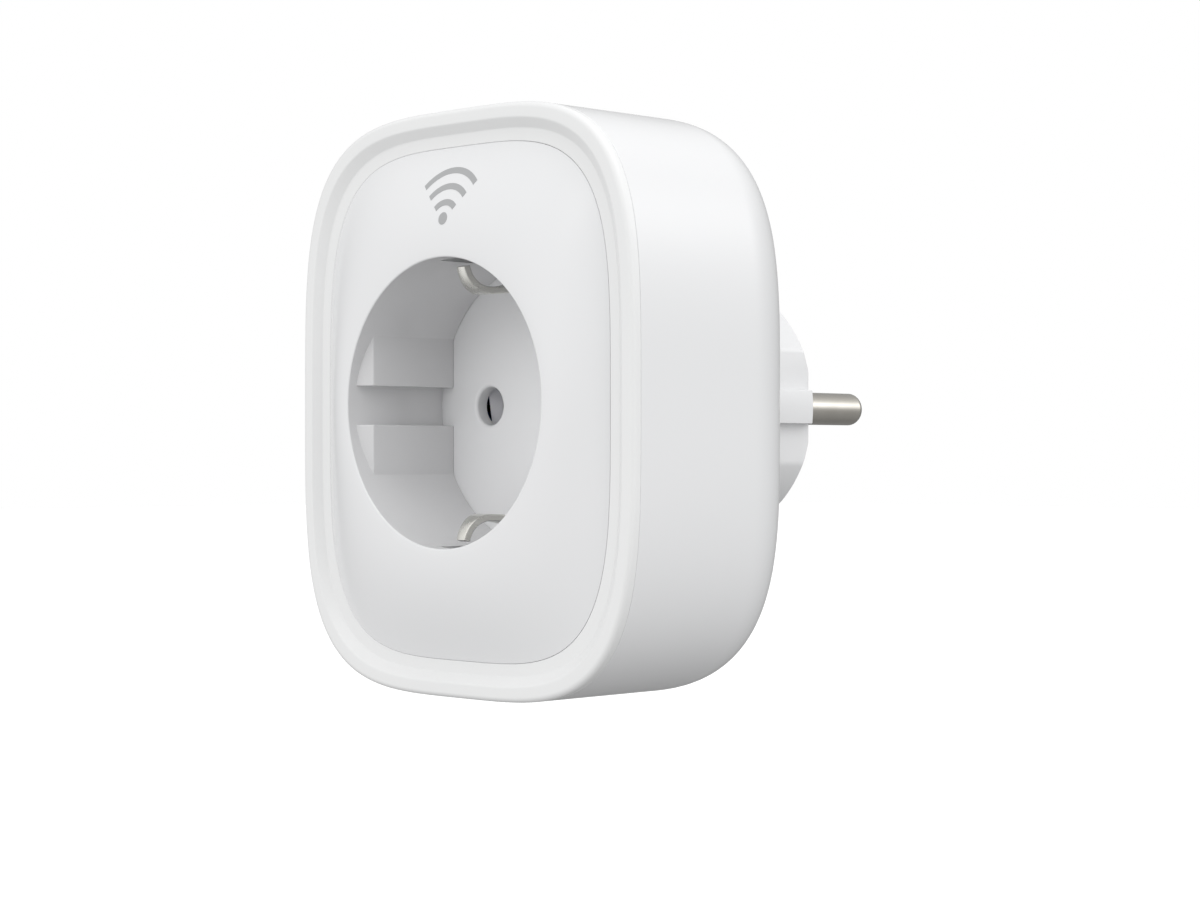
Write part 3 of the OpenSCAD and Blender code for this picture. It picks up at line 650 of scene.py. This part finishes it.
blocks = [guide_block(side, half) for side in (-1, 1) for half in (-1, 1)]
post = [(0, -MOUTH_DEPTH + 2.1), (3, -MOUTH_DEPTH + 2.1), (3, -6.6), (0, -6.6)]
posts = [turned(post, s, 48) for s in SCREWS]
cover = combined(cover, blocks + posts, "UNION")
LEAD_IN = 0.5
flare = [(HOLE_R + LEAD_IN * (1 - math.cos(t)), -FLOOR_DEPTH + LEAD_IN - LEAD_IN * math.sin(t))
         for t in [math.radians(90 * k / 6) for k in range(7)]]
bore = [(0, -FLOOR_DEPTH + 3), (HOLE_R, -FLOOR_DEPTH + 3), *flare, (HOLE_R + LEAD_IN, -FLOOR_DEPTH - 1),
        (0, -FLOOR_DEPTH - 1)]
holes = [turned(bore, (x, 0), 96) for x in (-PIN_X, PIN_X)]
SLOT_W = 5.6
for side in (-1, 1):
    near, far = sorted((side * 17.9, side * (WELL_R + 1)))
    holes.append(slab(-SLOT_W / 2, SLOT_W / 2, near, far, -MOUTH_DEPTH + 2.5, -FLOOR_DEPTH + 2.1))
holes += [turned([(0, -17), (1.3, -17), (1.3, -6), (0, -6)], s, 32) for s in SCREWS]
cover = combined(cover, holes, "DIFFERENCE")
piece("front_panel", cover, "shell_plastic", stands_for=["front_cover"], finish=panel_finish_with_painted_shade)


# %% [markdown]
# The bottom of the recess is a plate of its own, let in from behind, so a hair-thin seam shows where
# it meets the guide blocks. The cutters made for the cover serve here too. The pin holes have a soft
# lead-in, because a plug is pushed in by feel, and the plate is painted a little brighter than the
# walls: painted light, for the light that falls on the floor of the recess.

# %% Recess floor
plate = turned([(0, -FLOOR_DEPTH), (PLATE_R, -FLOOR_DEPTH), (PLATE_R, -FLOOR_DEPTH + PLATE_T),
                (0, -FLOOR_DEPTH + PLATE_T)], steps=144)
plate = combined(plate, holes, "DIFFERENCE")
# Painted light: the plate's white is brighter than the shell's, standing in for the light on the recess
# floor.
brightened_floor_finish = moulded("white_floor_plate_painted_bright", (242, 242, 243), (238, 239, 240), 0.25, IOR=1.5)
piece("recess_floor", plate, "shell_plastic", stands_for=["socket_floor"], finish=brightened_floor_finish)


# %% [markdown]
# Makers print a small mark above the socket. Here it is a neutral wireless sign: a dot under three
# arcs. Each arc is a curve with a flat section, made by Geometry Nodes, and then every point is laid
# on the cover by the cover's own rule, so that the ink follows the curved face.

# %% Printed wireless sign
ink_plan, ink = plan("lay_print_on_cover", Half_Width="Float", Half_Height="Float", Squareness="Float",
                     Stroke="Float", Thickness="Float", Material="Material")
path = Wire.add(ink_plan, "GeometryNodeMeshToCurve", values={"Mesh": ink["Geometry"]})
flat = Wire.add(ink_plan, "GeometryNodeCurvePrimitiveQuadrilateral",
                values={"Width": ink["Thickness"], "Height": ink["Stroke"]})
upright = Wire.add(ink_plan, "GeometryNodeSetCurveNormal", {"mode": "FREE"},
                   {"Curve": path, "Normal": (0, 1, 0)})
strokes = Wire.add(ink_plan, "GeometryNodeCurveToMesh",
                   values={"Curve": upright, "Profile Curve": flat, "Fill Caps": True})
drawn_at = Wire.add(ink_plan, "GeometryNodeInputPosition")
spot = Wire.add(ink_plan, "ShaderNodeSeparateXYZ", values={0: drawn_at})
sx, sy, sz = spot, spot.other("Y"), spot.other("Z")
away = (sx * sx + sz * sz) ** 0.5
outer = outline_radius(maths("ARCTAN2", sz, sx), LEDGE_INSET + 0.1, ink["Half Width"], ink["Half Height"],
                       ink["Squareness"])
share = (outer - away) / (outer - (RECESS_R + 0.5))
lifted = maths("SINE", share * (math.pi / 2)) * RISE + LEDGE_DEPTH
laid = Wire.add(ink_plan, "ShaderNodeCombineXYZ",
                values={0: sx * MM, 1: (sy - lifted) * MM, 2: sz * MM})
printed = Wire.add(ink_plan, "GeometryNodeSetPosition", values={"Geometry": strokes, "Position": laid})
finish_plan(ink_plan, printed, ink["Material"])

grey_ink = moulded("grey_ink", (172, 173, 174), (164, 165, 166), 0.4, 2500, 3e-6)
MARK_Z, STROKE, DOT_R = 24.2, 0.85, 0.42
points, edges = [], []
for radius in (2.7, 4.9, 7.1):
    first = len(points)
    points += [(x, 0, z) for x, z in arc(0, MARK_Z, radius, radius, 90 / 32, range(16, 49))]
    edges += [(i, i + 1) for i in range(first, len(points) - 1)]
first = len(points)
points += [(x, 0, z) for x, z in arc(0, MARK_Z + 0.5, DOT_R, DOT_R, 15, range(24))]
edges += [(first + k, first + (k + 1) % 24) for k in range(24)]
lines = bpy.data.meshes.new("sign_lines")
lines.from_pydata(points, edges, [])
sign = made_from(ink_plan, lines, Half_Width=HALF_W, Half_Height=HALF_H, Squareness=SQUARENESS,
                 Stroke=STROKE, Thickness=0.08, Material=grey_ink)
piece("printed_wireless_sign", outwards(sign), "trim_plastic", finish=grey_ink)


# %% [markdown]
# The plug body is a plain moulding with flats, ribs and earth grooves, and its form is right in the
# engineering model already. What it lacks is soft edges, so a copy is merged into whole faces and
# every edge is rounded. The same recipe serves the stamped and moulded parts further in, each with a
# radius that suits how it is made.

# %% Parts that only need soft edges
def softened(node, width):
    return rounded(frame["nodes"][node].data.copy(), width)


slot_of = {s["node"]: s["material_slot"] for s in frame["record"]["subparts"]}
body_of = {n: b for b, nodes in frame["record"]["behaviour"]["bodies"].items() for n in nodes}
soft_edges = {
    "plug_base": ("plug_body", 0.4), "earth_strap": ("earth_bridge", 0.12),
    "rear_earth_band": ("rear_earth_contact", 0.2), "earth_pin_sleeve": ("earth_pin_tube", 0.08),
    "live_link": ("live_busbar", 0.1), "neutral_link": ("neutral_busbar", 0.1),
    "relay_cover": ("relay_case", 0.4), "relay_base": ("relay_foot", 0.15),
    "mains_filter_capacitor": ("filter_capacitor_box", 0.35), "bridge_rectifier": ("rectifier_body", 0.12),
    "power_chip": ("power_controller", 0.1), "metering_chip": ("metering_controller", 0.06),
    "regulator": ("voltage_regulator", 0.06), "wireless_shield": ("radio_shield_can", 0.25),
    "switch_body": ("tact_switch_body", 0.08), "shunt_resistor": ("current_shunt", 0.08),
}
for node, (name, width) in soft_edges.items():
    piece(name, softened(node, width), slot_of[node], body_of[node], [node])


# %% [markdown]
# Behind each pin hole two sprung leaves grip the pin, and a web joins them on the outer side. The
# front of the web flares outwards like a funnel, so that a pin pushed in at an angle slides home.
# The flare is what shows through the hole. It is a short slanted plate that takes the place of the
# web's square front.

# %% Socket contacts
WEB_X, WEB_Y, FLARE_SLOPE = 12.42, -16.15, 1.19


def web_flare(side):
    """The flared front of one contact's web, and the block that makes room for it."""
    points = []
    for z, reach in ((-3.0, 0.95), (3.0, 1.4)):
        x, y = WEB_X + reach, WEB_Y - FLARE_SLOPE * reach
        corners = (WEB_X, WEB_Y), (x, y), (x + 0.35, y + 0.35), (WEB_X + 0.5, WEB_Y + 0.15)
        points += [(side * across, along, z) for across, along in corners]
    return between(points), slab(side * 12.2, side * 13.2, -2.55, 2.55, -19.5, -16.2)


for node, side in (("live_contact", 1), ("neutral_contact", -1)):
    flare, room = web_flare(side)
    contact = combined(combined(softened(node, 0.08), [room], "DIFFERENCE"), [flare], "UNION")
    piece(node.replace("_", "_socket_"), contact, slot_of[node], "root", [node], socket_metal)


# %% [markdown]
# The plug pins are turned from brass rod and nickel plated. The end is rounded so that it finds its
# hole, the root is thinner where the plastic grips it, and a collar stops it from being pulled out.

# %% Plug pins
TIP = span("live_pin")[1].y
ROUND = 1.3
pin = [(0, 4.4), (1.25, 4.4), (1.3, 4.45), (1.3, 6.35), (3.1, 6.35), (3.2, 6.45), (3.2, 7.35), (3.1, 7.45),
       (2.1, 7.45), (2.1, 17), (2.34, 17), (2.4, 17.06), *arc(1.1, TIP - ROUND, ROUND, ROUND, 9, range(11)),
       (0, TIP)]
for name, node in (("live_plug_pin", "live_pin"), ("neutral_plug_pin", "neutral_pin")):
    piece(name, turned(pin, (middle(node).x, 0), 96), "nickel_plate", stands_for=[node])


# %% [markdown]
# The earth clips are bent from strip. A tree follows any path with a flat section whose corners are
# rounded, which is how stamped strip looks after tumbling. The width lies along X, because the
# curve's normal is given and can't twist.

# %% Bent strip
strip_plan, strip = plan("bend_strip_along_path", Width="Float", Thickness="Float", Edge="Float",
                         Material="Material")
path = Wire.add(strip_plan, "GeometryNodeMeshToCurve", values={"Mesh": strip["Geometry"]})
fixed = Wire.add(strip_plan, "GeometryNodeSetCurveNormal", {"mode": "FREE"},
                 {"Curve": path, "Normal": (1, 0, 0)})
box = Wire.add(strip_plan, "GeometryNodeCurvePrimitiveQuadrilateral",
               values={"Width": strip["Width"], "Height": strip["Thickness"]})
soft_box = Wire.add(strip_plan, "GeometryNodeFilletCurve", {"mode": "POLY"},
                    {"Curve": box, "Radius": strip["Edge"], "Count": 3})
bent = Wire.add(strip_plan, "GeometryNodeCurveToMesh",
                values={"Curve": fixed, "Profile Curve": soft_box, "Fill Caps": True})
finish_plan(strip_plan, bent, strip["Material"])


def bent_strip(path, width, thickness, slot):
    """Strip that follows (y, z) points in millimetres."""
    line = bpy.data.meshes.new("path")
    line.from_pydata([(0, y * MM, z * MM) for y, z in path], [(i, i + 1) for i in range(len(path) - 1)], [])
    return outwards(made_from(strip_plan, line, Width=width * MM, Thickness=thickness * MM,
                              Edge=thickness * 0.22 * MM, Material=finishes[slot]))


# %% [markdown]
# Each clip bows into the recess, where it presses on the plug's side contact. It falls steeply at
# the front, so that a plug can ride over it, and runs back in a long slope to its root. Its front
# end narrows to a tip, so the straight strip is pinched in width by how far forward a point lies.

# %% Earth clips
APEX, BOW_RISE, BOW_EDGE, CLIP_T = 31.2, 3.9, 19.3, 0.95
FRONT_REACH, REAR_REACH = 3.8, 9.4
CLIP_ROOT = (-19.75, 18.55)
CLIP_TAPER = ((-36, 0.7), (-APEX, 1.5), (-26, 2.25), (-15, 2.25))
clip_width = span("earth_clip_top")[1].x - span("earth_clip_top")[0].x


def half_width(y):
    """Half of the clip's width at one depth, in millimetres."""
    for (y0, w0), (y1, w1) in zip(CLIP_TAPER, CLIP_TAPER[1:]):
        if y <= y1:
            return w0 + (w1 - w0) * (y - y0) / (y1 - y0)
    return CLIP_TAPER[-1][1]


for name, node, side in (("top_earth_spring", "earth_clip_top", 1),
                         ("bottom_earth_spring", "earth_clip_bottom", -1)):
    bow = []
    for k in range(53):
        t = math.radians(12 + 3 * k)
        reach = FRONT_REACH if t < math.pi / 2 else REAR_REACH
        bow.append((-APEX - reach * math.cos(t), side * (BOW_EDGE - BOW_RISE * math.sin(t))))
    bow.append((CLIP_ROOT[0], side * CLIP_ROOT[1]))
    spring = bent_strip(bow, clip_width, CLIP_T, "nickel_plate")
    for v in spring.vertices:
        v.co.x *= 2 * half_width(v.co.y / MM) / clip_width
    piece(name, spring, "nickel_plate", body_of[node], [node], spring_metal, crease=50)


# %% [markdown]
# Four screws hold the case. One screw is modelled, with a domed head, a cross recess and a thread,
# and Geometry Nodes set a copy at each post. The copies become real geometry at the end of the tree.

# %% Case screws
head = [(0, -0.28), (1.4, -0.3), (2.1, -0.42), (2.42, -0.62), (HEAD_R, -0.85), (HEAD_R, -1.5), (2.4, -1.62),
        (1.2, -1.65)]
thread = [(1.02 + 0.22 * (k % 2), -2 - 0.4 * k) for k in range(34)]
screw = turned([*head, (1.05, -1.8), *thread, (0.6, -15.45), (0, -15.5)], steps=48)
ARM, HALF_SLOT = 1.35, 0.28
cross = [slab(-x, x, -z, z, -1.15, 0.2) for x, z in ((ARM, HALF_SLOT), (HALF_SLOT, ARM))]
screw = combined(screw, cross, "DIFFERENCE")
pattern = bpy.data.objects.new("screw_pattern", screw)

set_plan, given = plan("set_copies_at_points", Pattern="Object", Material="Material")
picture = Wire.add(set_plan, "GeometryNodeObjectInfo", values={"Object": given["Pattern"]}, out="Geometry")
copies = Wire.add(set_plan, "GeometryNodeInstanceOnPoints",
                  values={"Points": given["Geometry"], "Instance": picture})
finish_plan(set_plan, copies, given["Material"])


def set_out(spots, pattern_object, finish):
    """Copies of one object at (x, y, z) spots in millimetres, as one mesh."""
    scene.collection.objects.link(pattern_object)
    dots = bpy.data.meshes.new("spots")
    dots.from_pydata([Vector(s) * MM for s in spots], [], [])
    made = made_from(set_plan, dots, Pattern=pattern_object, Material=finish)
    bpy.data.objects.remove(pattern_object)
    return made


screws = set_out([(x, 0, z) for x, z in SCREWS], pattern, finishes["screw_steel"])
piece("recessed_case_screws", screws, "screw_steel", stands_for=["case_screws"])


# %% [markdown]
# The button's cap is a turned shape with a shallow dish for a fingertip, and it rides on the button's
# own body, so it sinks with it. The light beside it ends in a small polished dome.

# %% Button and light
low, high = span("button_cap")
FACE, SOFT, DISH = high.z, 0.4, 0.28
cap = [(0, low.z), (1.6, low.z), (1.6, 36.2), (5.1, 36.2), (5.2, 36.3), (5.2, 36.9), (5.1, 37), (4.2, 37)]
cap += arc(3.8, FACE - SOFT, SOFT, SOFT, 15, range(7))
cap += [(r, FACE - DISH * (1 - (r / 3.7) ** 2)) for r in (3.4, 3.0, 2.5, 2.0, 1.4, 0.7, 0)]
piece("push_button", turned(cap, (0, BUTTON_Y), 96, "Z"), "trim_plastic", body_of["button_cap"],
      ["button_cap"])
low, high = span("light_pipe")
LENS_R, DOME = 1.05, 0.25
lens = [(0, low.z), (1.5, low.z), (1.6, low.z + 0.1), (1.6, low.z + 6), (LENS_R, low.z + 6.4),
        (LENS_R, high.z - DOME), *arc(0, high.z - DOME, LENS_R, DOME, 18, range(1, 5))]
piece("light_window", turned([*lens, (0, high.z)], (LIGHT_X, BUTTON_Y), 48, "Z"), "clear_plastic",
      stands_for=["light_pipe"])


# %% [markdown]
# Enamelled wire is wound on the relay's bobbin and on the power inductor. A spiral curve with a round
# section gives every turn. Each winding is one layer of wire over a plain core, so it stays light.

# %% Windings
coil_plan, coil = plan("wind_wire", Turns="Float", Radius="Float", Length="Float", Wire_Radius="Float",
                       Material="Material")
spiral = Wire.add(coil_plan, "GeometryNodeCurveSpiral", values={
    "Resolution": 32, "Rotations": coil["Turns"], "Start Radius": coil["Radius"],
    "End Radius": coil["Radius"], "Height": coil["Length"]})
section = Wire.add(coil_plan, "GeometryNodeCurvePrimitiveCircle",
                   values={"Resolution": 8, "Radius": coil["Wire Radius"]})
wound = Wire.add(coil_plan, "GeometryNodeCurveToMesh",
                 values={"Curve": spiral, "Profile Curve": section, "Fill Caps": True})
finish_plan(coil_plan, wound, coil["Material"])


def winding(node, outside, inside, front, rear):
    """A wound coil round Y between two depths, on the middle of a part, with its core."""
    wire, centre, length = 0.13, middle(node), front - rear
    turns = math.floor((length - 2 * wire) / (2.05 * wire))
    line = bpy.data.meshes.new("wire")
    made = made_from(coil_plan, line, Turns=float(turns), Radius=(outside - wire) * MM,
                     Length=(length - 2 * wire) * MM, Wire_Radius=wire * MM, Material=enamel)
    core = turned([(inside, 0), (outside - wire, 0), (outside - wire, length), (inside, length)], steps=64)
    work = bmesh.new()
    work.from_mesh(made)
    bmesh.ops.rotate(work, verts=work.verts, matrix=Matrix.Rotation(math.radians(-90), 3, "X"))
    bmesh.ops.translate(work, verts=work.verts, vec=(0, wire * MM, 0))
    work.from_mesh(core)
    bmesh.ops.translate(work, verts=work.verts, vec=(centre.x * MM, -front * MM, centre.z * MM))
    work.to_mesh(made)
    work.free()
    return outwards(made)


low, high = span("relay_coil")
piece("relay_winding", winding("relay_coil", high.x - middle("relay_coil").x, 2.45, -low.y, -high.y),
      "copper_strap", stands_for=["relay_coil"], finish=enamel, crease=60)
low, high = span("power_inductor")
piece("inductor_winding", winding("power_inductor", 3.9, 3.35, -low.y - 1.8, -high.y + 3.9),
      "copper_strap", finish=enamel, crease=60)


# %% [markdown]
# The leads of the larger parts on the main board end in small cones of solder on its back. The leads'
# places come from the parts themselves. The cones are set out by the same tree as the screws.

# %% Solder joints
BOARD_BACK = span("main_board")[1].y
cone = [(r, BOARD_BACK + rise) for r, rise in
        ((0, 0), (0.95, 0), (0.7, 0.04), (0.5, 0.1), (0.42, 0.16), (0, 0.17))]
joint = bpy.data.objects.new("solder_joint", turned(cone, steps=20))
lead_spots = []
for node, dx, dz in (("mains_filter_capacitor", 0, 4.4), ("power_inductor", 2.5, 0),
                     ("fusible_resistor", 0, 5.6), ("varistor", 0.8, 2.5)):
    at = middle(node)
    lead_spots += [(at.x + s * dx, 0, at.z + s * dz) for s in (-1, 1)]
for s in (-1, 1):
    lead_spots += [(middle("bulk_capacitors").x + t * 1.75, 0, s * 4.5) for t in (-1, 1)]
    lead_spots.append((middle("relay_coil_pins").x, 0, middle("relay_coil_pins").z + s * 3))
piece("solder_joints", set_out(lead_spots, joint, tin), "nickel_plate", finish=tin, crease=50)


# %% [markdown]
# The parts left are right as they are. Each gets the finish that the record names for it.

# %% Finishes for the remaining parts
for node, part in frame["nodes"].items():
    part.data.materials.clear()
    part.data.materials.append(finishes[slot_of[node]])
print("finished", len(frame["nodes"]), "engineering parts")


# %% [markdown]
# White plastic is shaped by what surrounds it. The part hangs in a white studio: a plain pale floor
# well below it, a soft light above and in front, and a strip at the side. Round them the sky is a
# dim even white with a few pools of light, most of them wide. A high tightness makes a small pool.
# The camera looks level from the front right, and sees plain white where there is no part or floor.

# %% Floor, light and camera
def lamp(name, place, aim, size, size_y, power):
    """A soft rectangular light at a place, turned towards its aim."""
    data = bpy.data.lights.new(name, "AREA")
    data.shape, data.size, data.size_y, data.energy = "RECTANGLE", size, size_y, power
    made = bpy.data.objects.new(name, data)
    scene.collection.objects.link(made)
    made.location = place
    made.rotation_euler = (Vector(aim) - Vector(place)).to_track_quat("-Z", "Y").to_euler()


FLOOR_Z, FLOOR_HALF = -0.16, 6
floor_corners = [(x * FLOOR_HALF, y * FLOOR_HALF, FLOOR_Z) for x, y in ((-1, -1), (1, -1), (1, 1), (-1, 1))]
floor_mesh = bpy.data.meshes.new("floor")
floor_mesh.from_pydata(floor_corners, [], [(0, 1, 2, 3)])
floor = bpy.data.objects.new("floor", floor_mesh)
scene.collection.objects.link(floor)
pale, pale_tree, pale_shader = blank("pale_floor", Roughness=0.9, Emission_Color=(1, 1, 1, 1),
                                     Emission_Strength=0.3)
pale_tint = blend_colours(noise(pale_tree, 3), (0.86, 0.86, 0.86, 1), (0.88, 0.88, 0.88, 1))
pale_tree.links.new(pale_tint.socket, pale_shader.inputs["Base Color"])
floor_mesh.materials.append(pale)
floor.visible_diffuse = floor.visible_glossy = False

world = bpy.data.worlds.new("studio")
scene.world = world
world.use_nodes = True
sky = world.node_tree
sky.nodes.clear()
heading = Wire.add(sky, "ShaderNodeTexCoord", out="Generated")
EVEN_GLOW = 0.28
POOLS = (  # direction, tightness, strength
    ((0, 0, 1), 1, 0.41), ((1, 0, 0), 1, 0.26), ((0, -1, 0), 1, 0.32), ((0.7, 0, 0.7), 3, 0.45),
    ((-0.5, -0.8, -0.3), 4, 0.36), ((-0.7, -0.7, 0), 3, 0.42), ((0.67, 0.48, 0.57), 6, 0.45),
    ((0.61, -0.2, 0.76), 8, 0.19), ((0.62, 0.7, 0.34), 40, 2.2), ((0, 0, 1), 12, 0.3))
glow = EVEN_GLOW
for towards, tightness, strength in POOLS:
    facing = Wire.add(sky, "ShaderNodeVectorMath", {"operation": "DOT_PRODUCT"},
                      {0: heading, 1: towards}, "Value")
    glow = maths("MAXIMUM", facing, 0) ** tightness * strength + glow
seen = Wire.add(sky, "ShaderNodeLightPath", out="Is Camera Ray")
shown = blend_colours(seen, glow, (1, 1, 1, 1))
back_light = Wire.add(sky, "ShaderNodeBackground", values={"Color": shown, "Strength": 1.0})
Wire.add(sky, "ShaderNodeOutputWorld", values={0: back_light})

lamp("key_above", (0.1, -0.5, 0.55), (0, 0, 0), 0.7, 0.7, 1.1)
lamp("side_strip", (0.62, -0.12, 0.42), (0.03, -0.02, 0.01), 0.3, 0.9, 0.63)

scene.view_settings.view_transform = "Standard"
camera_data = bpy.data.cameras.new("camera")
camera_data.lens, camera_data.sensor_width, camera_data.shift_y = 74.26, 36, 0.0025
camera_data.clip_start, camera_data.clip_end = 0.01, 20
camera = bpy.data.objects.new("camera", camera_data)
scene.collection.objects.link(camera)
camera.location = (0.2494, -0.2570, -0.0072)
camera.rotation_euler = (math.radians(90), 0, math.radians(45.146))
scene.camera = camera
print("studio ready")
